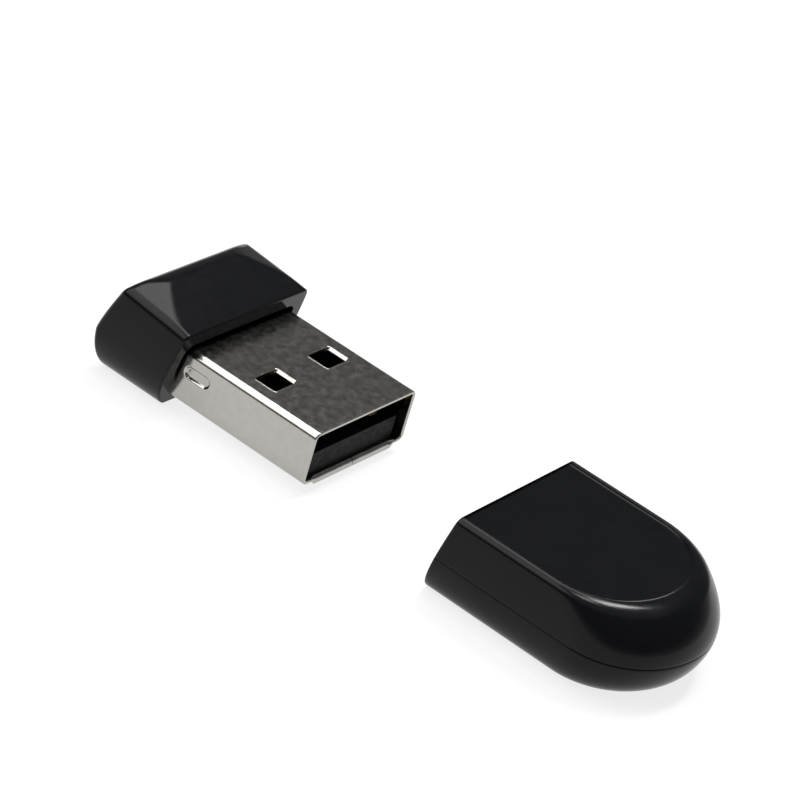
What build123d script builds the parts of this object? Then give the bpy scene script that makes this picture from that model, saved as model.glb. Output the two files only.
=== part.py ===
from build123d import *
from math import radians, sin
import os

# ---------------------------------------------------------------- driving dimensions (mm)
# Frame: +Y runs along the plug towards the cap, +Z is up, Z = 0 is the surface it lies on.
# The origin is the middle of the footprint of drive and cap, laid out in one line.

# plug, a standard size
plug_width = 12.0
plug_height = 4.5
plug_sheet = 0.3
plug_corner = 0.55
plug_length = 17.0
window_size = (2.5, 2.0)
window_x = 3.08
window_back = 6.4

# outer form shared by the housing and the cap
body_width = 14.9
side_draft = 0.3
parting_z = 3.4
top_edge_z = 7.0
bottom_round = 1.65
face_slope = 0.2
draft_power = 1.9

# layout along Y
housing_length = 8.0
plug_reach = 12.15
cap_gap = 13.5
cap_length = 17.33

# housing
housing_bottom_round = 1.9
back_draft = 1.25
back_draft_power = 1.15
back_bottom_round = 0.7
back_corner = 0.45
back_edge = 1.45
back_edge_z = 7.85
back_corner_z = 7.6
ridge_z = 8.2
ridge_back = 5.05
ridge_half = 3.9
ramp_sag = 0.1
housing_floor = 0.9
cavity_back = 6.5
recess_gap = 0.35
recess_back = 1.0

# cap
nose_draft = 2.2
nose_bottom = 2.7
nose_start = 11.2
nose_start_top = 8.4
nose_start_bottom = 9.5
rim_width = 0.55
rim_height = 0.22
rim_bevel = 0.16
plug_clearance = 0.2
pocket_depth = 12.5
seam_groove = 0.12

# inside the plug
tongue_top = 2.25
tongue_half = 5.45
contact_pitch = (-3.5, -1.0, 1.0, 3.5)
contact_width = 1.0
contact_thick = 0.2
board_thick = 0.6
board_half = 5.3

# ---------------------------------------------------------------- derived places
total_length = housing_length + plug_reach + cap_gap + cap_length
back_y = -total_length / 2
face_y = back_y + housing_length
mouth_y = face_y + plug_reach
cap_y = mouth_y + cap_gap
plug_z = housing_floor
plug_mid_z = plug_z + plug_height / 2
contact_z = plug_z + tongue_top - contact_thick
board_z = contact_z - board_thick
lower_heights = [parting_z * (1 - sin(radians(15 * step))) for step in range(7)]
upper_heights = (parting_z, 4.6, 5.8, top_edge_z - rim_bevel)


# ---------------------------------------------------------------- shared helpers
def block(x0, x1, y0, y1, z0, z1):
    """A box from its six faces."""
    size = Box(x1 - x0, y1 - y0, z1 - z0)
    return Pos((x0 + x1) / 2, (y0 + y1) / 2, (z0 + z1) / 2) * size


def side_prism(points, half_width=12.0):
    """A closed outline given as (y, z) pairs, extruded to both sides in X."""
    wire = Polyline(*[(0, y, z) for y, z in points], close=True)
    return extrude(make_face(wire), amount=half_width, dir=(1, 0, 0), both=True)


def upper_inset(z, draft, power=draft_power):
    """How far the outline has drawn in at height z above the parting line."""
    rise = (z - parting_z) / (top_edge_z - parting_z)
    return draft * rise ** power


def lower_inset(z, reach):
    """How far the outline has drawn in at height z below the parting line, a quarter ellipse."""
    drop = (parting_z - z) / parting_z
    return reach * (1 - (1 - drop ** 2) ** 0.5)


def inset(z, draft, reach, power=draft_power):
    """Inset at any height: draft above the parting line, rounding below it."""
    return upper_inset(z, draft, power) if z > parting_z else lower_inset(z, reach)


def face_plane_y(z, top_y):
    """The mating face leans: it is further back towards the bottom."""
    return top_y - face_slope * (top_edge_z - z)


# ---------------------------------------------------------------- housing
def housing_outline(z):
    """Plan outline of the housing at height z: straight front, two rounded rear corners."""
    half = body_width / 2 - inset(z, side_draft, housing_bottom_round)
    rear = back_y + inset(z, back_draft, back_bottom_round, back_draft_power)
    front = face_y + 2.0
    outline = Polyline((-half, front), (-half, rear), (half, rear), (half, front), close=True)
    face = make_face(outline)
    rear_corners = face.vertices().group_by(Axis.Y)[0]
    return Pos(0, 0, z) * fillet(rear_corners, back_corner)


def housing_form():
    """Outer form of the housing before it is hollowed."""
    lower = loft([housing_outline(z) for z in lower_heights])
    upper = loft([housing_outline(z) for z in (parting_z, 4.6, 5.8, top_edge_z, ridge_z + 0.2)])
    ridge_y = face_y - ridge_back
    ramp = ThreePointArc(
        (0, face_y, top_edge_z),
        (0, (face_y + ridge_y) / 2, (top_edge_z + ridge_z) / 2 - ramp_sag),
        (0, ridge_y, ridge_z),
    )
    back = Polyline(
        (0, ridge_y, ridge_z),
        (0, back_y + back_edge, back_edge_z),
        (0, back_y - 2, back_edge_z - 2),
        (0, back_y - 2, -1),
        (0, face_plane_y(-1, face_y), -1),
        (0, face_y, top_edge_z),
    )
    profile = make_face([ramp, *back.edges()])
    form = (lower + upper) & extrude(profile, amount=12, dir=(1, 0, 0), both=True)
    return form - hip_cut(-1) - hip_cut(1)


def hip_cut(side):
    """Everything above the sloping facet beside the ramp."""
    edge_x = side * (body_width / 2 - side_draft)
    front = Vector(edge_x, face_y, top_edge_z)
    rear = Vector(edge_x, back_y + back_edge, back_corner_z)
    ridge = Vector(side * ridge_half, face_y - ridge_back, ridge_z)
    normal = (rear - front).cross(ridge - front).normalized()
    if normal.Z < 0:
        normal = -normal
    plane = Plane(origin=ridge, x_dir=(rear - front).normalized(), z_dir=normal)
    return plane * Box(40, 40, 4, align=(Align.CENTER, Align.CENTER, Align.MIN))


def rear_housing():
    """The housing with the plug's pocket and the shallow recess round the plug in its leaning face."""
    pocket = plug_bar(plug_width, plug_height, plug_corner, face_y - cavity_back, face_y + 3)
    width = plug_width + 2 * recess_gap
    height = plug_height + 2 * recess_gap
    recess = plug_bar(width, height, plug_corner + recess_gap, face_y - recess_back, face_y + 3)
    return housing_form() - pocket - recess


# ---------------------------------------------------------------- plug
def plug_bar(width, height, corner, y0, y1):
    """A rounded bar along Y, centred on the plug."""
    section = Plane.XZ * RectangleRounded(width, height, corner)
    bar = extrude(section, amount=y1 - y0)
    return Pos(0, y1, plug_mid_z) * bar


def dimple(side, depth, x_face):
    """A stadium pressed into a side wall, its axis along Y."""
    plane = Plane(
        origin=(x_face, mouth_y - 11.3, plug_z + 2.84), x_dir=(0, 1, 0), z_dir=(side, 0, 0)
    )
    return extrude(plane * SlotOverall(2.3, 0.95), amount=-depth)


def plug_shell():
    outer = plug_bar(plug_width, plug_height, plug_corner, mouth_y - plug_length, mouth_y)
    bore_size = (plug_width - 2 * plug_sheet, plug_height - 2 * plug_sheet)
    bore = plug_bar(*bore_size, plug_corner - plug_sheet, mouth_y - 20, mouth_y + 1)
    rim = outer.faces().sort_by(Axis.Y)[-1].edges()
    shell = chamfer(rim, 0.08) - bore
    for side in (-1, 1):
        window = Pos(side * window_x, mouth_y - window_back, plug_mid_z)
        shell -= window * Box(window_size[0], window_size[1], plug_height + 1)
        half = plug_width / 2
        shell += dimple(side, 0.2, side * (half - plug_sheet))
        shell -= dimple(side, 0.22, side * half)
    seam = block(-0.03, 0.03, mouth_y - 20, mouth_y + 1, 0, plug_z + 1)
    return shell - seam


def contact_carrier():
    front = mouth_y - 0.5
    bottom = plug_z + plug_sheet
    tongue = block(-tongue_half, tongue_half, mouth_y - 9, front, bottom, plug_z + tongue_top)
    nose_corners = tongue.edges().filter_by(Axis.Z).group_by(Axis.Y)[-1]
    tongue = chamfer(nose_corners, 0.45)
    rear = block(-tongue_half, tongue_half, mouth_y - 10.1, mouth_y - 9, bottom, plug_z + 4.1)
    carrier = tongue + rear
    for x in contact_pitch:
        carrier -= block(
            x - contact_width / 2, x + contact_width / 2,
            mouth_y - 11, contact_front(x), contact_z, contact_z + contact_thick
        )
    return carrier


def contact_front(x):
    """The two supply contacts reach further forward than the two data contacts."""
    return mouth_y - (1.5 if abs(x) > 2 else 2.5)


def contact(x):
    """A flat contact: mating strip on the tongue, tail lying on the board."""
    half = contact_width / 2
    strip = block(
        x - half, x + half, mouth_y - 11.9, contact_front(x), contact_z, contact_z + contact_thick
    )
    lead_edge = strip.edges().group_by(Axis.Y)[-1].filter_by(Axis.X).sort_by(Axis.Z)[-1]
    return chamfer(lead_edge, 0.12)


def solder_joint(x):
    """A wedge of solder behind a contact's tail."""
    tail = mouth_y - 11.9
    profile = Polyline(
        (x - 0.45, tail, contact_z),
        (x - 0.45, tail - 0.4, contact_z),
        (x - 0.45, tail, contact_z + contact_thick),
        close=True,
    )
    return extrude(make_face(profile), amount=0.9, dir=(1, 0, 0))


# ---------------------------------------------------------------- board and parts on it
def circuit_board():
    board = block(
        -board_half, board_half, mouth_y - 18.4, mouth_y - 10.15, board_z, board_z + board_thick
    )
    corners = board.edges().filter_by(Axis.Z).group_by(Axis.Y)[0]
    return chamfer(corners, 0.8)


def chip_above(x, y, size):
    """A package standing on the upper side of the board, y measured back from the mouth."""
    width, length, height = size
    body = Box(width, length, height, align=(Align.CENTER, Align.CENTER, Align.MIN))
    body = chamfer(body.faces().sort_by(Axis.Z)[-1].edges(), 0.08)
    return Pos(x, mouth_y - y, board_z + board_thick) * body


def chip_below(x, y, size):
    """A package hanging on the lower side of the board."""
    width, length, height = size
    body = Box(width, length, height, align=(Align.CENTER, Align.CENTER, Align.MAX))
    body = chamfer(body.faces().sort_by(Axis.Z)[0].edges(), 0.05)
    return Pos(x, mouth_y - y, board_z) * body


def row_below(places, size):
    """Identical small parts on the lower side of the board."""
    return Compound(children=[chip_below(x, y, size) for x, y in places])


def board_spacer():
    """Bridge over the board with a slotted rail down each side."""
    y0 = mouth_y - 16.8
    y1 = mouth_y - 12.75
    low = plug_z + plug_sheet
    high = plug_z + 4.1
    bridge = block(-tongue_half, tongue_half, y0, y1, plug_z + 3.45, high)
    for side in (-1, 1):
        rail = block(4.6, tongue_half, y0, y1, low, high)
        bridge += rail if side > 0 else mirror(rail, Plane.YZ)
    slot = block(-board_half, board_half, y0, y1, board_z, board_z + board_thick)
    return bridge - slot


# ---------------------------------------------------------------- cap
def nose_outline(half, start, tip):
    """Plan outline of the cap: straight sides running into a half ellipse."""
    shoulder = cap_y + start
    mouth = cap_y - 3.0
    end = cap_y + tip
    nose = EllipticalCenterArc((0, shoulder), half, end - shoulder, arc_size=180)
    sides = Polyline((-half, shoulder), (-half, mouth), (half, mouth), (half, shoulder))
    return make_face([*nose.edges(), *sides.edges()])


def cap_outline(z, trim=0.0):
    """Plan outline of the cap at height z; the nose gets shorter away from the parting line."""
    half = body_width / 2 - inset(z, side_draft, bottom_round) - trim
    tip = cap_length - inset(z, nose_draft, nose_bottom) - trim
    if z > parting_z:
        start = nose_start - upper_inset(z, nose_start - nose_start_top)
    else:
        start = nose_start - lower_inset(z, nose_start - nose_start_bottom)
    return Pos(0, 0, z) * nose_outline(half, start, tip)


def leaning_mouth(form):
    """Cut the open end of the cap to the slope of the mating face."""
    return form & side_prism([
        (face_plane_y(-1, cap_y), -1),
        (face_plane_y(8, cap_y), 8),
        (cap_y + 20, 8),
        (cap_y + 20, -1),
    ])


def cap_upper_form():
    """Upper half of the cap with its bevelled rim and sunk top panel."""
    form = loft([cap_outline(z) for z in upper_heights])
    rim = [cap_outline(top_edge_z - rim_bevel), Pos(0, 0, rim_bevel) * cap_outline(
        top_edge_z - rim_bevel, rim_bevel
    )]
    form += loft(rim, ruled=True)
    top_half = body_width / 2 - side_draft - rim_width
    top_tip = cap_length - nose_draft - rim_width
    panel_face = nose_outline(top_half, nose_start_top, top_tip)
    panel = extrude(Pos(0, 0, top_edge_z - 2) * panel_face, amount=3)
    floor = side_prism([
        (cap_y - 4, top_edge_z - rim_height),
        (cap_y + top_tip + 0.5, top_edge_z - 0.25 * rim_height),
        (cap_y + top_tip + 0.5, top_edge_z + 1),
        (cap_y - 4, top_edge_z + 1),
    ])
    form -= panel & floor
    groove = cap_outline(parting_z) - cap_outline(parting_z, seam_groove)
    return leaning_mouth(form - extrude(groove, amount=seam_groove, dir=(0, 0, 1)))


def cap_lower_form():
    return leaning_mouth(loft([cap_outline(z) for z in lower_heights]))


def cap_pocket():
    """The space inside the cap: the plug's pocket and the hollow in the nose."""
    width = plug_width + 2 * plug_clearance
    height = plug_height + 2 * plug_clearance
    corner = plug_corner + plug_clearance
    pocket = plug_bar(width, height, corner, cap_y - 4, cap_y + pocket_depth)
    hollow_face = nose_outline(5.8, 11.0, 15.4)
    hollow = extrude(Pos(0, 0, 1.6) * hollow_face, amount=3.6)
    hollow -= block(-9, 9, cap_y - 4, cap_y + pocket_depth + 0.8, 0, 8)
    return pocket + hollow


def cap_ribs():
    """Low ribs that steady the plug, four on the flats and two on each side."""
    half = plug_width / 2 + plug_clearance
    low = plug_z - plug_clearance
    high = plug_z + plug_height + plug_clearance
    rise = plug_clearance / 2
    y0 = cap_y + 1.5
    y1 = cap_y + 11.5
    ribs = []
    for x in (-4.6, 4.6):
        ribs.append(block(x - 0.3, x + 0.3, y0, y1, high - rise, high + 0.2))
        ribs.append(block(x - 0.3, x + 0.3, y0, y1, low - 0.2, low + rise))
    for z in (2.1, 4.3):
        ribs.append(block(half - rise, half + 0.2, y0, y1, z, z + 0.5))
        ribs.append(block(-half - 0.2, rise - half, y0, y1, z, z + 0.5))
    return ribs


def cap_locators(grow):
    """Pins in the nose and tabs in the side walls that line the two shells up."""
    height = 0.6 + grow
    items = []
    for side in (-1, 1):
        pin = Cylinder(0.5 + grow, height, align=(Align.CENTER, Align.CENTER, Align.MIN))
        items.append(Pos(side * 5.05, cap_y + 13.6, parting_z) * pin)
        for y in (cap_y + 3.5, cap_y + 8.0):
            x = side * 6.8
            items.append(block(
                x - 0.2 - grow, x + 0.2 + grow, y - 1.2 - grow, y + 1.2 + grow,
                parting_z, parting_z + height
            ))
    return items


def cap_shells():
    """The two halves, hollowed, ribbed and located on each other."""
    pocket = cap_pocket()
    upper_space = block(-20, 20, cap_y - 10, cap_y + 25, parting_z, 12)
    lower_space = block(-20, 20, cap_y - 10, cap_y + 25, -5, parting_z)
    upper = cap_upper_form() - pocket
    lower = cap_lower_form() - pocket
    for rib in cap_ribs():
        if (rib & upper_space).volume > 0:
            upper += rib & upper_space
        if (rib & lower_space).volume > 0:
            lower += rib & lower_space
    for item in cap_locators(0.05):
        upper -= item
    for item in cap_locators(0.0):
        lower += item
    return upper, lower


# ---------------------------------------------------------------- assembly
cap_upper, cap_lower = cap_shells()
contact_names = ("contact_ground", "contact_data_plus", "contact_data_minus", "contact_vbus")

nodes = {
    "rear_housing": rear_housing(),
    "plug_shell": plug_shell(),
    "contact_carrier": contact_carrier(),
    "solder_joints": Compound(children=[solder_joint(x) for x in contact_pitch]),
    "circuit_board": circuit_board(),
    "flash_memory": chip_above(0, 15.4, (8.0, 5.4, 0.9)),
    "controller": chip_below(-2.1, 14.3, (4.0, 4.0, 0.75)),
    "crystal": chip_below(2.6, 15.7, (2.5, 2.0, 0.55)),
    "bulk_capacitor": chip_below(3.6, 13.4, (1.6, 0.8, 0.8)),
    "ferrite_bead": chip_below(-3.6, 11.4, (1.6, 0.8, 0.6)),
    "decoupling_capacitors": row_below([(-4.0, 17.2), (-2.2, 17.2), (-0.4, 17.2)], (1.0, 0.5, 0.5)),
    "load_capacitors": row_below([(1.6, 17.5), (3.4, 17.5)], (1.0, 0.5, 0.5)),
    "data_resistors": row_below([(-1.0, 11.4), (1.0, 11.4)], (0.5, 1.0, 0.35)),
    "board_spacer": board_spacer(),
    "cap_upper_shell": cap_upper,
    "cap_lower_shell": cap_lower,
}
for contact_name, contact_x in zip(contact_names, contact_pitch):
    nodes[contact_name] = contact(contact_x)

os.makedirs("parts", exist_ok=True)
for name, shape in nodes.items():
    export_step(shape, f"parts/{name}.step")
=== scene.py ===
import math

import bmesh
import bpy
import numpy as np
from mathutils import Matrix, Vector


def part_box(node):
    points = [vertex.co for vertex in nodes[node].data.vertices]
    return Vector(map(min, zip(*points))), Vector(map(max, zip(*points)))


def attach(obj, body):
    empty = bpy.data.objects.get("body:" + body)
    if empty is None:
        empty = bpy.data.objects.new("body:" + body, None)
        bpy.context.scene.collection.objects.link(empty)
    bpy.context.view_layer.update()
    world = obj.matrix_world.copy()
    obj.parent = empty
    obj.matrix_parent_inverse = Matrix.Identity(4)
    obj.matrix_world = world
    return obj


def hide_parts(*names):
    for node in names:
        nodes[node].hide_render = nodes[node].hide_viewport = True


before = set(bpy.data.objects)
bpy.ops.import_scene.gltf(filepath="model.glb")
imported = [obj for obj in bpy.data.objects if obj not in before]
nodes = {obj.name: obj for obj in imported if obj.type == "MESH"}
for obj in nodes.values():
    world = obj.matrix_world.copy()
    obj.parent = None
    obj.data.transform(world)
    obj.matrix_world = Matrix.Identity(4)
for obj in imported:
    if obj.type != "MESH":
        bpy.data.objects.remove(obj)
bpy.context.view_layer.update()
MM = 0.001

# The object's sizes are in millimetres, in the frame of the CAD part; new_piece() turns them into metres.
# The lights and the floor are given in metres.

# ---------------------------------------------------------------- sizes read from the frame
housing_low, housing_high = (Vector(c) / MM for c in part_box("rear_housing"))
plug_low, plug_high = (Vector(c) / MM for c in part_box("plug_shell"))
cap_low, cap_high = (Vector(c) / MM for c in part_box("cap_upper_shell"))

HALF = housing_high.x
BACK_Y = housing_low.y
MOUTH_Y = plug_high.y
TIP_Y = cap_high.y
PARTING_Z = cap_low.z
TOP_Z = cap_high.z
RIDGE_Z = housing_high.z
PLUG_MID_Z = (plug_low.z + plug_high.z) / 2
PLUG_REACH = 12.15
CAP_GAP = 13.5
FACE_Y = MOUTH_Y - PLUG_REACH
CAP_Y = MOUTH_Y + CAP_GAP
FACE_SLOPE = 0.2
SIDE_DRAFT = 0.3
DRAFT_POWER = 1.9
BOTTOM_ROUND = 1.65

# The plug as the CAD part has it, which its pockets are cut to.
PLUG_WIDTH = 12.0
PLUG_HEIGHT = 4.5
POCKET_CORNER = 0.55
OPEN_END = 4.0


# ---------------------------------------------------------------- mesh helpers
def new_piece(name, mesh, body, material, replaces=None, smooth_angle=35):
    """Link a mesh given in millimetres as a piece that rides on a CAD body."""
    mesh.transform(Matrix.Scale(MM, 4))
    mesh.name = name
    piece = bpy.data.objects.new(name, mesh)
    bpy.context.scene.collection.objects.link(piece)
    mesh.materials.clear()
    mesh.materials.append(material)
    mesh.shade_smooth()
    mesh.set_sharp_from_angle(angle=math.radians(smooth_angle))
    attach(piece, body)
    if replaces:
        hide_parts(replaces)
    return piece


def mesh_from(points, faces):
    """Mesh with its doubled points merged and its faces turned outwards."""
    mesh = bpy.data.meshes.new("part")
    mesh.from_pydata([tuple(p) for p in points], [], faces)
    bm = bmesh.new()
    bm.from_mesh(mesh)
    bmesh.ops.remove_doubles(bm, verts=bm.verts, dist=1e-4)
    bmesh.ops.dissolve_degenerate(bm, edges=bm.edges, dist=1e-5)
    bmesh.ops.recalc_face_normals(bm, faces=bm.faces)
    bm.to_mesh(mesh)
    bm.free()
    return mesh


def combine(mesh, others, operation="DIFFERENCE", solver="FAST"):
    """Cut (or join) closed meshes and return the new mesh."""
    base = bpy.data.objects.new("combine_base", mesh)
    bpy.context.scene.collection.objects.link(base)
    helpers = []
    for other in others:
        tool = bpy.data.objects.new("combine_tool", other)
        bpy.context.scene.collection.objects.link(tool)
        modifier = base.modifiers.new("combine", "BOOLEAN")
        modifier.operation = operation
        modifier.solver = solver
        modifier.object = tool
        helpers.append(tool)
    graph = bpy.context.evaluated_depsgraph_get()
    result = bpy.data.meshes.new_from_object(base.evaluated_get(graph))
    for helper in helpers + [base]:
        bpy.data.objects.remove(helper)
    return result


def rounded_rectangle(width, height, corner, steps=8):
    """Points (x, z) round a rounded rectangle, anticlockwise."""
    points = []
    for quarter in range(4):
        sx = 1 if quarter in (0, 3) else -1
        sz = 1 if quarter in (0, 1) else -1
        for step in range(steps + 1):
            a = math.radians(90 * quarter + 90 * step / steps)
            points.append((
                sx * (width / 2 - corner) + corner * math.cos(a),
                sz * (height / 2 - corner) + corner * math.sin(a),
            ))
    return points


def prism(section, y0, y1):
    """Closed prism along Y from a list of (x, z) points."""
    n = len(section)
    points = [(x, y, z) for y in (y0, y1) for x, z in section]
    faces = [(i, (i + 1) % n, n + (i + 1) % n, n + i) for i in range(n)]
    faces += [tuple(range(n)), tuple(range(n, 2 * n))]
    return mesh_from(points, faces)


def block(x0, x1, y0, y1, z0, z1):
    return prism([(x0, z0), (x1, z0), (x1, z1), (x0, z1)], y0, y1)


def plug_space(gap, y0, y1):
    """The plug's bar grown by a gap on every side, for cutting it out of the plastic."""
    outline = rounded_rectangle(PLUG_WIDTH + 2 * gap, PLUG_HEIGHT + 2 * gap, POCKET_CORNER + gap)
    return prism([(x, z + PLUG_MID_Z) for x, z in outline], y0, y1)


# ---------------------------------------------------------------- shared outer form
def upper_inset(z, draft, power=DRAFT_POWER):
    """How far a wall leans in at height z: nothing at the parting line, the draft at the top."""
    rise = (z - PARTING_Z) / (TOP_Z - PARTING_Z)
    return draft * np.sign(rise) * np.abs(rise) ** power


def lower_share(z):
    """0 at the parting line, 1 at the flat underside, along a quarter ellipse."""
    drop = np.clip((PARTING_Z - z) / PARTING_Z, 0, 1)
    return 1 - np.sqrt(np.maximum(1 - drop ** 2, 0))


# ---------------------------------------------------------------- cap
NOSE_DRAFT = 2.2
NOSE_BOTTOM = 2.7
SHOULDER = 11.2
SHOULDER_TOP = 8.4
SHOULDER_BOTTOM = 9.5
RIM_ROUND = 0.5
RIM_TIP = 0.9
RIM_STEP = 0.2
CAP_LENGTH = TIP_Y - CAP_Y
POCKET_DEPTH = 12.5
PLUG_CLEARANCE = 0.2
RIB_START = 1.5
RIB_END = 11.5
RIB_HALF = 0.3
RIB_X = 4.6
RIB_HEIGHTS = (2.1, 4.3)
RIB_THICK = 0.5
RIB_OUT = 6.1
RIB_TOP = 5.5
CHANNEL_HALF = 5.2
CHANNEL_FLOOR = 0.48
CHANNEL_DEPTH = 12.3


def cap_row(z, extra=0.0, tip_extra=None):
    """One ring of points round the cap at height z, from the mouth round the nose and back."""
    if z > PARTING_Z:
        half = HALF - upper_inset(z, SIDE_DRAFT)
        tip = CAP_LENGTH - upper_inset(z, NOSE_DRAFT)
        shoulder = SHOULDER - upper_inset(z, SHOULDER - SHOULDER_TOP)
    else:
        k = lower_share(z)
        half = HALF - BOTTOM_ROUND * k
        tip = CAP_LENGTH - NOSE_BOTTOM * k
        shoulder = SHOULDER - (SHOULDER - SHOULDER_BOTTOM) * k
    half -= extra
    tip -= extra if tip_extra is None else tip_extra
    mouth = -FACE_SLOPE * (TOP_Z - z)
    side = np.concatenate([mouth + np.array([0, 0.03, 0.08]), np.linspace(mouth + 0.3, shoulder, 28)])
    turn = np.linspace(0, math.pi, 121)[1:-1]
    x = np.concatenate([np.full(len(side), half), half * np.cos(turn), np.full(len(side), -half)])
    y = np.concatenate([side, shoulder + (tip - shoulder) * np.sin(turn), side[::-1]])
    return np.stack([x, CAP_Y + y, np.full(len(x), z)], axis=1)


def ease_mouth(row):
    """Round the mouth's edge: the first and last points of a row draw in towards the middle."""
    centre = np.array([0, 0, TOP_Z / 2])
    for index, pull in ((0, 0.08), (1, 0.025), (-1, 0.08), (-2, 0.025)):
        offset = row[index] - centre
        offset[1] = 0
        scale = pull / max(np.linalg.norm(offset), 1.0)
        row[index] = row[index] - offset * scale
    return row


def collapse(row, steps):
    """Rows that carry a flat ring inwards to its centre line."""
    rows = []
    for share in np.linspace(0, 1, steps + 1)[1:]:
        inner = row.copy()
        inner[:, 0] *= 1 - share
        rows.append(inner)
    return rows


def close_rows(rows):
    """Faces between rows, and across the mouth between the two ends of each row."""
    rows = [ease_mouth(r.copy()) for r in rows]
    n = len(rows[0])
    points = np.concatenate(rows)
    faces = []
    for i in range(len(rows) - 1):
        a = i * n
        b = a + n
        for j in range(n - 1):
            faces.append((a + j, a + j + 1, b + j + 1, b + j))
        faces.append((a + n - 1, a, b, b + n - 1))
    return mesh_from(points, faces)


def panel_depth(y):
    """The top panel is sunk, and runs out level with the rim at the nose."""
    share = np.clip((y - CAP_Y) / (CAP_LENGTH - NOSE_DRAFT), 0, 1)
    return RIM_STEP * (1 - 0.55 * share ** 3)


def cap_upper_mesh():
    """Closed form of the upper half, from the seam up over the rim and in across the panel."""
    seam = cap_row(PARTING_Z, 0.03)
    rows = collapse(seam, 6)[::-1] + [seam]
    rows += [cap_row(PARTING_Z + 0.02, 0.006), cap_row(PARTING_Z + 0.05, 0.0)]
    rows += [cap_row(z) for z in np.linspace(PARTING_Z + 0.2, TOP_Z - RIM_ROUND, 24)]
    for a in np.radians(np.linspace(8, 90, 12)):
        z = TOP_Z - RIM_ROUND * (1 - math.sin(a))
        rows.append(cap_row(z, RIM_ROUND * (1 - math.cos(a)), RIM_TIP * (1 - math.cos(a))))
    rows.append(cap_row(TOP_Z, RIM_ROUND + 0.03, RIM_TIP + 0.03))
    for out, down in ((0.07, 0.12), (0.10, 0.45), (0.13, 0.8), (0.18, 0.96), (0.26, 1.0)):
        row = cap_row(TOP_Z, RIM_ROUND + out, RIM_TIP + out * 2.4)
        row[:, 2] -= panel_depth(row[:, 1]) * down
        rows.append(row)
    rows += collapse(rows[-1], 10)
    return combine(close_rows(rows), cap_cutters())


def cap_lower_mesh():
    """Closed form of the lower half, from the eased seam down to the flat underside."""
    seam = cap_row(PARTING_Z, 0.10)
    rows = collapse(seam, 6)[::-1] + [seam]
    rows += [cap_row(PARTING_Z - 0.06, 0.03), cap_row(PARTING_Z - 0.13, 0.0)]
    angles = np.radians(np.linspace(5, 90, 26))
    rows += [cap_row(PARTING_Z * (1 - math.sin(a))) for a in angles]
    rows += collapse(rows[-1], 6)
    return combine(close_rows(rows), cap_cutters())


def cap_cutters():
    """The plug's pocket with the roof and side ribs left standing, and a shallow channel in its floor.

    The channel clears the plug's flared lip, and takes the place of the two floor ribs.
    """
    pocket = plug_space(PLUG_CLEARANCE, CAP_Y - OPEN_END, CAP_Y + POCKET_DEPTH)
    y0 = CAP_Y + RIB_START
    y1 = CAP_Y + RIB_END
    ribs = [block(x - RIB_HALF, x + RIB_HALF, y0, y1, RIB_TOP, 6.0) for x in (-RIB_X, RIB_X)]
    for z in RIB_HEIGHTS:
        ribs.append(block(RIB_OUT, 6.5, y0, y1, z, z + RIB_THICK))
        ribs.append(block(-6.5, -RIB_OUT, y0, y1, z, z + RIB_THICK))
    channel = block(
        -CHANNEL_HALF, CHANNEL_HALF, CAP_Y - OPEN_END, CAP_Y + CHANNEL_DEPTH, CHANNEL_FLOOR, 1.2
    )
    return [combine(pocket, ribs, "DIFFERENCE", "EXACT"), channel]


# ---------------------------------------------------------------- housing
HOUSING_BOTTOM_ROUND = 1.9
BACK_DRAFT = 1.25
BACK_DRAFT_POWER = 1.15
BACK_BOTTOM = 0.7
BACK_CORNER = 0.45
BACK_EDGE = 1.45
BACK_EDGE_Z = 7.85
BACK_CORNER_Z = 7.6
RIDGE_BACK = 5.05
RIDGE_HALF = 3.9
RAMP_SAG = 0.1
RAMP_LEAN = 0.985
HIP_EDGE = 0.10
RIDGE_EDGE = 0.16
ROOF_EDGE = 0.6
FACE_EDGE = 0.14
CAVITY_BACK = 6.5
RECESS_GAP = 0.35
RECESS_BACK = 1.0
LONGEST_RAY = 14.0


def soft_max(a, b, k):
    """The larger of two distances, with the meeting edge rounded to about radius k."""
    h = np.maximum(k - np.abs(a - b), 0) / k
    return np.maximum(a, b) + h * h * k * 0.25


def plane_distance(points, origin, normal):
    """Distance of points from a plane, positive on the side that its normal faces."""
    normal = np.array(normal) / np.linalg.norm(normal)
    return (points - np.array(origin)) @ normal


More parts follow.
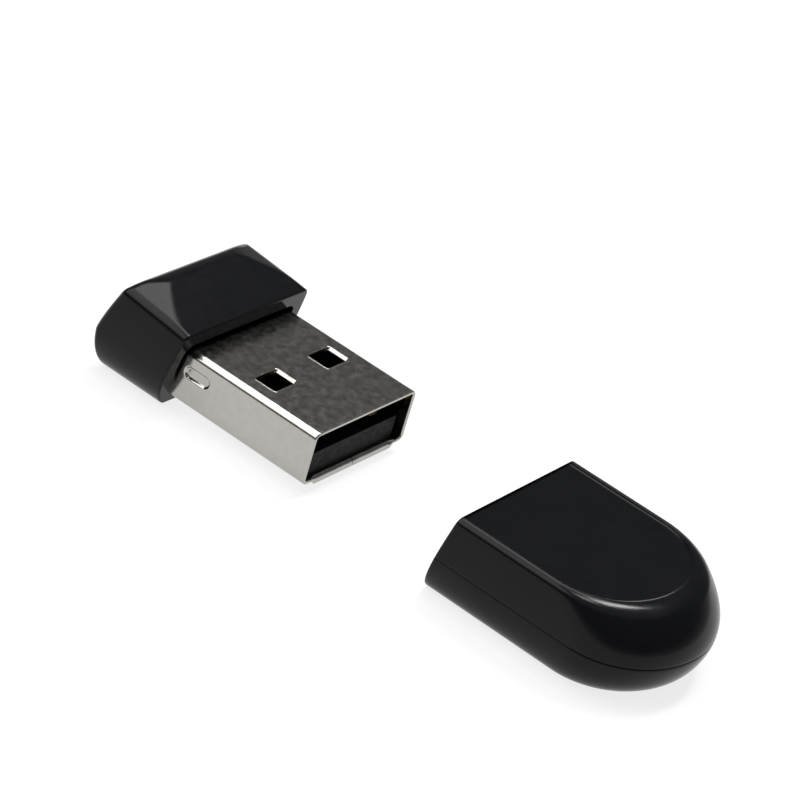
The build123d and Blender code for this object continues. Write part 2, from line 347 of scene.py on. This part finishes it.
def housing_distance(p):
    """Signed distance, near enough, from points to the housing's skin; negative inside."""
    x = np.abs(p[:, 0])
    y = p[:, 1]
    z = p[:, 2]
    k = lower_share(z)
    zu = np.maximum(z, PARTING_Z)
    half = HALF - upper_inset(zu, SIDE_DRAFT) - HOUSING_BOTTOM_ROUND * k
    rear = BACK_Y + upper_inset(zu, BACK_DRAFT, BACK_DRAFT_POWER) + BACK_BOTTOM * k
    qx = x - (half - BACK_CORNER)
    qy = (rear + BACK_CORNER) - y
    walls = np.hypot(np.maximum(qx, 0), np.maximum(qy, 0)) - BACK_CORNER
    walls += np.minimum(np.maximum(qx, qy), 0)
    base = np.maximum(walls, -z)
    ridge_y = FACE_Y - RIDGE_BACK
    run = (FACE_Y - y) / RIDGE_BACK
    ramp_z = TOP_Z + (RIDGE_Z - TOP_Z) * run - 4 * RAMP_SAG * run * (1 - run)
    ramp = (z - ramp_z) * RAMP_LEAN
    front = np.array([HALF - SIDE_DRAFT, FACE_Y, TOP_Z])
    rear_point = np.array([HALF - SIDE_DRAFT, BACK_Y + BACK_EDGE, BACK_CORNER_Z])
    ridge = np.array([RIDGE_HALF, ridge_y, RIDGE_Z])
    normal = np.cross(rear_point - front, ridge - front)
    normal *= np.sign(normal[2])
    mirrored = np.stack([x, y, z], axis=1)
    hip = plane_distance(mirrored, ridge, normal)
    roof = soft_max(ramp, hip, HIP_EDGE)
    slope = (RIDGE_Z - BACK_EDGE_Z) / (ridge_y - BACK_Y - BACK_EDGE)
    back = plane_distance(p, (0, ridge_y, RIDGE_Z), (0, -slope, 1))
    roof = soft_max(roof, back, RIDGE_EDGE)
    face = (y - (FACE_Y - FACE_SLOPE * (TOP_Z - z))) / math.hypot(1, FACE_SLOPE)
    body = soft_max(base, roof, ROOF_EDGE)
    return soft_max(body, face, FACE_EDGE)


def even(n, ends=0.55):
    """n + 1 values from -1 to 1, closer together towards the ends."""
    u = np.linspace(-1, 1, n + 1)
    return (1 - ends) * u + ends * np.sin(u * math.pi / 2)


def housing_mesh():
    """Rays from the middle of a box, each run out to the skin, one grid for each box face."""
    centre = np.array([0, (BACK_Y + FACE_Y) / 2 - 0.4, 3.7])
    size = np.array([HALF, 3.9, 3.8])
    counts = (150, 84, 84)
    points = []
    faces = []
    for axis in range(3):
        u_axis, v_axis = [a for a in range(3) if a != axis]
        u = even(counts[u_axis])
        v = even(counts[v_axis])
        for side in (-1, 1):
            start = sum(len(grid) for grid in points)
            grid_u, grid_v = np.meshgrid(u, v, indexing="ij")
            rays = np.zeros((grid_u.size, 3))
            rays[:, axis] = side
            rays[:, u_axis] = grid_u.ravel()
            rays[:, v_axis] = grid_v.ravel()
            points.append(rays * size)
            m = len(v)
            for i in range(len(u) - 1):
                for j in range(m - 1):
                    a = start + i * m + j
                    faces.append((a, a + 1, a + m + 1, a + m))
    rays = np.concatenate(points)
    rays /= np.linalg.norm(rays, axis=1)[:, None]
    near = np.zeros(len(rays))
    far = np.full(len(rays), LONGEST_RAY)
    for _ in range(40):
        middle = (near + far) / 2
        outside = housing_distance(centre + rays * middle[:, None]) > 0
        far = np.where(outside, middle, far)
        near = np.where(outside, near, middle)
    mesh = mesh_from(centre + rays * near[:, None], faces)
    pocket = plug_space(0.0, FACE_Y - CAVITY_BACK, FACE_Y + OPEN_END)
    recess = plug_space(RECESS_GAP, FACE_Y - RECESS_BACK, FACE_Y + OPEN_END)
    return combine(mesh, [pocket, recess])


# ---------------------------------------------------------------- plug
PLUG_SHEET = 0.3
PLUG_CORNER = 0.54
CORNER_POWER = 1.12
PLUG_EDGE = 0.09
PLUG_LENGTH = 17.0
LIP_LENGTH = 0.42
LIP_HALF = 4.9
LIP_FLARE = 0.36
DIMPLE_Y = -11.15
DIMPLE_Z = 2.84
DIMPLE_DEPTH = 0.2
WINDOW_X = 3.08
WINDOW_Y = MOUTH_Y - 6.4
WINDOW_WIDTH = 2.5
WINDOW_LENGTH = 2.0
WINDOW_CORNER = 0.16
WINDOW_LEAN = 0.13
RIM_PROFILE = (
    (-0.1, -0.1), (-0.1, 0.0), (0.0, 0.0), (0.03, 0.03),
    (0.08, 0.045), (0.13, 0.03), (0.17, -0.04), (0.17, -0.1),
)
SEAM_HALF = 0.03
RELIEF_HALF = 0.04


def plug_rings():
    """Outer and inner outline of the plug's sheet, point for point, and which way each run faces."""
    half = np.array([PLUG_WIDTH, PLUG_HEIGHT]) / 2
    signs = np.array([(1, 1), (-1, 1), (-1, -1), (1, -1)])
    outer = []
    inner = []
    facing = []
    for index, sign in enumerate(signs):
        turn = np.radians(np.linspace(0, 90, 13))
        curve = np.stack([np.cos(turn), np.sin(turn)], axis=1)
        if index % 2:
            curve = curve[:, ::-1]
        flat = curve ** CORNER_POWER
        outer.append(sign * (half - PLUG_CORNER + PLUG_CORNER * flat))
        inner.append(sign * (half - PLUG_CORNER + (PLUG_CORNER - PLUG_SHEET) * curve))
        facing += [(0, 0)] * len(turn)
        following = signs[(index + 1) % 4]
        count = 48 if index % 2 else 36
        for rings, reach in ((outer, 0), (inner, PLUG_SHEET)):
            start = rings[-1][-1]
            inset = (reach, PLUG_CORNER) if index % 2 else (PLUG_CORNER, reach)
            end = following * (half - inset)
            shares = np.linspace(0, 1, count + 1)[1:-1, None]
            rings.append(start + (end - start) * shares)
        facing += [(sign[0], 0) if index % 2 else (0, sign[1])] * (count - 1)
    return np.concatenate(outer), np.concatenate(inner), np.array(facing)


def smooth_step(value):
    t = np.clip(value, 0, 1)
    return t * t * (3 - 2 * t)


def dimple_depth(y, z):
    """Depth of the stadium pressed into a side wall, y from the mouth and z from the underside."""
    along = max(abs(y - DIMPLE_Y) - 0.68, 0)
    distance = np.hypot(along, z - DIMPLE_Z)
    return DIMPLE_DEPTH * smooth_step((0.56 - distance) / 0.2)


def plug_row(rings, offset, y):
    """One ring of the sheet: moved in by the offset, dimpled on the sides, flared at the lip."""
    outer, inner, facing = rings
    ring = outer + (inner - outer) * (offset / PLUG_SHEET)
    ring[:, 0] -= facing[:, 0] * dimple_depth(y, ring[:, 1] + PLUG_HEIGHT / 2)
    bend = max((y + LIP_LENGTH) / LIP_LENGTH, 0) ** 3
    middle = smooth_step((LIP_HALF - np.abs(ring[:, 0])) / 0.4)
    ring[:, 1] -= np.where(facing[:, 1] < 0, LIP_FLARE * bend * middle, 0)
    return np.stack([ring[:, 0], np.full(len(ring), MOUTH_Y + y), ring[:, 1] + PLUG_MID_Z], axis=1)


def stack(loops):
    """Closed solid through a list of loops that all have the same number of points."""
    n = len(loops[0])
    faces = []
    for row in range(len(loops) - 1):
        for i in range(n):
            j = (i + 1) % n
            faces.append((row * n + i, row * n + j, row * n + n + j, row * n + n + i))
    faces.append(tuple(range(n)))
    faces.append(tuple(range((len(loops) - 1) * n, len(loops) * n)))
    return mesh_from(np.concatenate(loops), faces)


def window_cutter(x):
    """A rounded window through both flats; one wall leans, as the punch leaves it."""
    high = plug_high.z
    loops = []
    levels = (
        (plug_low.z - 0.4, WINDOW_LEAN), (high - 0.16, WINDOW_LEAN), (high - 0.02, 0.0), (high + 0.4, 0.0),
    )
    for z, lean in levels:
        outline = rounded_rectangle(WINDOW_WIDTH - lean, WINDOW_LENGTH, WINDOW_CORNER, 5)
        loops.append(np.array([(x + lean / 2 + a, WINDOW_Y + b, z) for a, b in outline]))
    return stack(loops)


def window_rim(x):
    """The slightly raised, rounded edge round a window."""
    loops = []
    for out, up in RIM_PROFILE:
        outline = rounded_rectangle(
            WINDOW_WIDTH + 2 * out, WINDOW_LENGTH + 2 * out, WINDOW_CORNER + out, 5
        )
        loops.append([(x + a, WINDOW_Y + b, plug_high.z + up) for a, b in outline])
    n = len(loops[0])
    count = len(loops)
    faces = []
    for row in range(count):
        a = row * n
        b = (row + 1) % count * n
        faces += [(a + i, a + (i + 1) % n, b + (i + 1) % n, b + i) for i in range(n)]
    return mesh_from(np.concatenate(loops), faces)


def plug_shell_mesh():
    """Folded sheet: the outer skin, the rounded edge of the mouth and the inner skin."""
    rings = plug_rings()
    places = np.concatenate([
        np.linspace(-PLUG_LENGTH, -12.6, 6), np.linspace(-12.5, -9.8, 46),
        np.linspace(-9.4, -LIP_LENGTH, 10), np.linspace(-LIP_LENGTH + 0.04, -PLUG_EDGE, 10),
    ])
    turn = np.radians([30, 60, 90])
    rows = [(0.0, y) for y in places]
    edge = [(PLUG_EDGE * (1 - math.cos(a)), PLUG_EDGE * (math.sin(a) - 1)) for a in turn]
    rows += edge
    rows += [(PLUG_SHEET - offset, y) for offset, y in edge[::-1]]
    rows += [(PLUG_SHEET, y) for y in places[::-1]]
    points = np.concatenate([plug_row(rings, offset, y) for offset, y in rows])
    n = len(rings[0])
    faces = []
    for row in range(len(rows)):
        a = row * n
        b = (row + 1) % len(rows) * n
        for i in range(n):
            j = (i + 1) % n
            faces.append((a + i, a + j, b + j, b + i))
    cutters = [window_cutter(WINDOW_X), window_cutter(-WINDOW_X)]
    cut_top = plug_low.z + 0.8
    cutters.append(block(-SEAM_HALF, SEAM_HALF, MOUTH_Y - 20, MOUTH_Y + 1, 0, cut_top))
    for side in (-1, 1):
        x = side * (LIP_HALF + 0.15)
        y0 = MOUTH_Y - LIP_LENGTH
        cutters.append(block(x - RELIEF_HALF, x + RELIEF_HALF, y0, MOUTH_Y + 1, 0.3, cut_top))
    rims = [window_rim(WINDOW_X), window_rim(-WINDOW_X)]
    sheet = combine(mesh_from(points, faces), rims, "UNION", "EXACT")
    return combine(sheet, cutters, "DIFFERENCE", "EXACT")


# ---------------------------------------------------------------- materials
def principled(name):
    material = bpy.data.materials.new(name)
    material.use_nodes = True
    return material, material.node_tree, material.node_tree.nodes["Principled BSDF"]


def add_noise(tree, scale, detail=3.0, rough=0.5):
    """Noise on object coordinates, its scale in cells per millimetre."""
    coord = tree.nodes.new("ShaderNodeTexCoord")
    mapping = tree.nodes.new("ShaderNodeMapping")
    mapping.inputs["Scale"].default_value = [1 / MM] * 3
    noise = tree.nodes.new("ShaderNodeTexNoise")
    noise.inputs["Scale"].default_value = scale
    noise.inputs["Detail"].default_value = detail
    noise.inputs["Roughness"].default_value = rough
    tree.links.new(coord.outputs["Object"], mapping.inputs["Vector"])
    tree.links.new(mapping.outputs["Vector"], noise.inputs["Vector"])
    return noise


def add_ramp(tree, source, stops):
    """Colour ramp with stops of (place, colour or grey level)."""
    ramp = tree.nodes.new("ShaderNodeValToRGB")
    elements = ramp.color_ramp.elements
    while len(elements) < len(stops):
        elements.new(0.5)
    for element, (place, color) in zip(elements, stops):
        element.position = place
        element.color = (*color, 1) if isinstance(color, tuple) else (color, color, color, 1)
    tree.links.new(source, ramp.inputs["Fac"])
    return ramp


def add_bump(tree, shader, height, strength, distance):
    bump = tree.nodes.new("ShaderNodeBump")
    bump.inputs["Strength"].default_value = strength
    bump.inputs["Distance"].default_value = distance * MM
    tree.links.new(height, bump.inputs["Height"])
    tree.links.new(bump.outputs["Normal"], shader.inputs["Normal"])


def gloss_black():
    """Polished black moulding: faint orange peel, a little haze and colour drift."""
    material, tree, shader = principled("gloss_black_plastic")
    shader.inputs["Specular IOR Level"].default_value = 0.15
    tint = add_noise(tree, 0.35, 2)
    colors = add_ramp(tree, tint.outputs["Fac"], [
        (0.3, (0.0036, 0.0040, 0.0050)), (0.7, (0.0046, 0.0049, 0.0059)),
    ])
    tree.links.new(colors.outputs["Color"], shader.inputs["Base Color"])
    haze = add_noise(tree, 1.3, 6, 0.6)
    rough = add_ramp(tree, haze.outputs["Fac"], [(0.35, 0.16), (0.7, 0.20)])
    tree.links.new(rough.outputs["Color"], shader.inputs["Roughness"])
    peel = add_noise(tree, 2.2, 2)
    add_bump(tree, shader, peel.outputs["Fac"], 0.15, 0.003)
    return material


def satin_steel():
    """Stamped steel: mottled in tone, more so on the faces that look up than on the sides."""
    material, tree, shader = principled("satin_steel")
    shader.inputs["Metallic"].default_value = 1.0
    mottle = add_noise(tree, 1.5, 5, 0.6)
    coarse = add_ramp(tree, mottle.outputs["Fac"], [
        (0.3, (0.32, 0.312, 0.290)), (0.7, (0.46, 0.450, 0.425)),
    ])
    fine = add_ramp(tree, mottle.outputs["Fac"], [
        (0.3, (0.385, 0.375, 0.348)), (0.7, (0.415, 0.405, 0.378)),
    ])
    coord = tree.nodes.new("ShaderNodeTexCoord")
    split = tree.nodes.new("ShaderNodeSeparateXYZ")
    tree.links.new(coord.outputs["Normal"], split.inputs["Vector"])
    blend = tree.nodes.new("ShaderNodeMix")
    blend.data_type = "RGBA"
    tree.links.new(split.outputs["Z"], blend.inputs["Factor"])
    tree.links.new(fine.outputs["Color"], blend.inputs["A"])
    tree.links.new(coarse.outputs["Color"], blend.inputs["B"])
    tree.links.new(blend.outputs["Result"], shader.inputs["Base Color"])
    rough = add_ramp(tree, mottle.outputs["Fac"], [(0.3, 0.14), (0.7, 0.22)])
    tree.links.new(rough.outputs["Color"], shader.inputs["Roughness"])
    grain = add_noise(tree, 3.2, 4, 0.6)
    add_bump(tree, shader, grain.outputs["Fac"], 0.13, 0.005)
    return material


def plain_fine(name, dark, light, rough_low, rough_high, metallic=0.0, specular=0.5):
    """A fine-grained finish in two close tones."""
    material, tree, shader = principled(name)
    shader.inputs["Metallic"].default_value = metallic
    shader.inputs["Specular IOR Level"].default_value = specular
    grain = add_noise(tree, 3.0, 4, 0.6)
    colors = add_ramp(tree, grain.outputs["Fac"], [(0.35, dark), (0.65, light)])
    tree.links.new(colors.outputs["Color"], shader.inputs["Base Color"])
    rough = add_ramp(tree, grain.outputs["Fac"], [(0.35, rough_low), (0.65, rough_high)])
    tree.links.new(rough.outputs["Color"], shader.inputs["Roughness"])
    add_bump(tree, shader, grain.outputs["Fac"], 0.4, 0.004)
    return material


black_plastic = gloss_black()
steel = satin_steel()
insulator = plain_fine(
    "insulator_black", (0.002, 0.002, 0.0018), (0.004, 0.004, 0.0036), 0.42, 0.6, specular=0.08
)
gold = plain_fine("gold_plating", (0.70, 0.40, 0.15), (0.82, 0.52, 0.22), 0.2, 0.32, 1.0)
laminate = plain_fine("solder_resist", (0.008, 0.07, 0.03), (0.012, 0.10, 0.045), 0.28, 0.4)
package = plain_fine("moulded_package", (0.012, 0.012, 0.013), (0.022, 0.022, 0.023), 0.5, 0.65)
can = plain_fine("crystal_can", (0.55, 0.55, 0.53), (0.66, 0.66, 0.64), 0.22, 0.34, 1.0)
ceramic = plain_fine("capacitor_ceramic", (0.26, 0.17, 0.10), (0.34, 0.23, 0.14), 0.4, 0.55)
resistor = plain_fine("resistor_body", (0.015, 0.015, 0.018), (0.03, 0.03, 0.034), 0.35, 0.5)
solder = plain_fine("bright_solder", (0.55, 0.56, 0.57), (0.70, 0.71, 0.72), 0.18, 0.32, 1.0)
nylon = plain_fine("natural_nylon", (0.52, 0.50, 0.44), (0.60, 0.58, 0.52), 0.45, 0.6)

node_materials = {
    "rear_housing": black_plastic, "cap_upper_shell": black_plastic, "cap_lower_shell": black_plastic,
    "plug_shell": steel, "contact_carrier": insulator, "solder_joints": solder,
    "contact_vbus": gold, "contact_data_minus": gold, "contact_data_plus": gold, "contact_ground": gold,
    "circuit_board": laminate, "flash_memory": package, "controller": package, "crystal": can,
    "bulk_capacitor": ceramic, "decoupling_capacitors": ceramic, "load_capacitors": ceramic,
    "ferrite_bead": resistor, "data_resistors": resistor, "board_spacer": nylon,
}
for name, material in node_materials.items():
    nodes[name].data.materials.clear()
    nodes[name].data.materials.append(material)

new_piece("cap_upper", cap_upper_mesh(), "cap", black_plastic, "cap_upper_shell")
new_piece("cap_lower", cap_lower_mesh(), "cap", black_plastic, "cap_lower_shell")
new_piece("housing", housing_mesh(), "drive", black_plastic, "rear_housing", 50)
new_piece("plug", plug_shell_mesh(), "drive", steel, "plug_shell", 40)


# ---------------------------------------------------------------- camera
CAMERA_PLACE = Vector((181.3, MOUTH_Y + 105.52, 130.18)) * MM
CAMERA_AIM = Vector((-6.388, MOUTH_Y - 1.39, 3.5)) * MM
CAMERA_ROLL = math.radians(17.007)
LENS = 151.52


def add_camera():
    """Long lens from in front of the plug's mouth and its +X side, rolled about its own axis."""
    data = bpy.data.cameras.new("camera")
    data.lens = LENS
    data.sensor_width = 36
    data.clip_start = 0.01
    data.clip_end = 20
    camera = bpy.data.objects.new("camera", data)
    bpy.context.scene.collection.objects.link(camera)
    look = (CAMERA_AIM - CAMERA_PLACE).to_track_quat("-Z", "Y").to_matrix().to_4x4()
    roll = Matrix.Rotation(CAMERA_ROLL, 4, "Z")
    camera.matrix_world = Matrix.Translation(CAMERA_PLACE) @ look @ roll
    bpy.context.scene.camera = camera


# ---------------------------------------------------------------- stage
def add_softbox(name, place, aim, size, radiance):
    """A rectangular softbox, its brightness given as radiance."""
    data = bpy.data.lights.new(name, "AREA")
    data.shape = "RECTANGLE"
    data.size, data.size_y = size
    data.energy = radiance * size[0] * size[1] * math.pi
    light = bpy.data.objects.new(name, data)
    light.location = place
    light.rotation_euler = (Vector(aim) - Vector(place)).to_track_quat("-Z", "Y").to_euler()
    bpy.context.scene.collection.objects.link(light)


def add_floor():
    """Pale paper that glows a little, so that it stays near white under soft light."""
    bm = bmesh.new()
    bmesh.ops.create_grid(bm, x_segments=8, y_segments=8, size=2.5)
    mesh = bpy.data.meshes.new("floor")
    bm.to_mesh(mesh)
    bm.free()
    floor = bpy.data.objects.new("floor", mesh)
    floor.location.z = -0.00002
    bpy.context.scene.collection.objects.link(floor)
    material, tree, shader = principled("floor_paper")
    fibres = add_noise(tree, 0.02, 3)
    tone = add_ramp(tree, fibres.outputs["Fac"], [(0.3, 0.19), (0.7, 0.21)])
    tree.links.new(tone.outputs["Color"], shader.inputs["Base Color"])
    shader.inputs["Emission Color"].default_value = (1, 1, 1, 1)
    shader.inputs["Emission Strength"].default_value = 0.80
    shader.inputs["Roughness"].default_value = 0.9
    shader.inputs["Specular IOR Level"].default_value = 0.1
    mesh.materials.append(material)


def add_world():
    """Bright at table height and below, dim above it, and brighter again straight overhead."""
    world = bpy.data.worlds.new("studio")
    bpy.context.scene.world = world
    world.use_nodes = True
    tree = world.node_tree
    coord = tree.nodes.new("ShaderNodeTexCoord")
    split = tree.nodes.new("ShaderNodeSeparateXYZ")
    tree.links.new(coord.outputs["Generated"], split.inputs["Vector"])
    ramp = add_ramp(tree, split.outputs["Z"], [
        (0.0, 0.40), (0.10, 0.30), (0.18, 0.10), (0.45, 0.13), (0.68, 0.14), (0.79, 0.5),
    ])
    tree.links.new(ramp.outputs["Color"], tree.nodes["Background"].inputs["Color"])


add_camera()
add_floor()
add_world()
add_softbox("overhead", (-0.02, -0.03, 0.75), (0, 0, 0), (0.15, 0.15), 14.0)
add_softbox("far_high", (-0.31, -0.02, 0.69), (0, 0, 0), (0.12, 0.27), 32.0)
add_softbox("near_high", (-0.08, -0.34, 0.70), (0, 0, 0), (0.34, 0.26), 2.6)
add_softbox("rear_high", (-0.36, -0.245, 0.67), (0, 0, 0), (0.30, 0.22), 4.8)
add_softbox("far_low", (-0.80, -0.39, 0.065), (0, 0, 0), (0.35, 0.12), 1.6)
add_softbox("side_high", (0.36, -0.42, 0.60), (0, 0, 0), (0.60, 0.60), 2.8)

bpy.context.scene.view_settings.view_transform = "Standard"
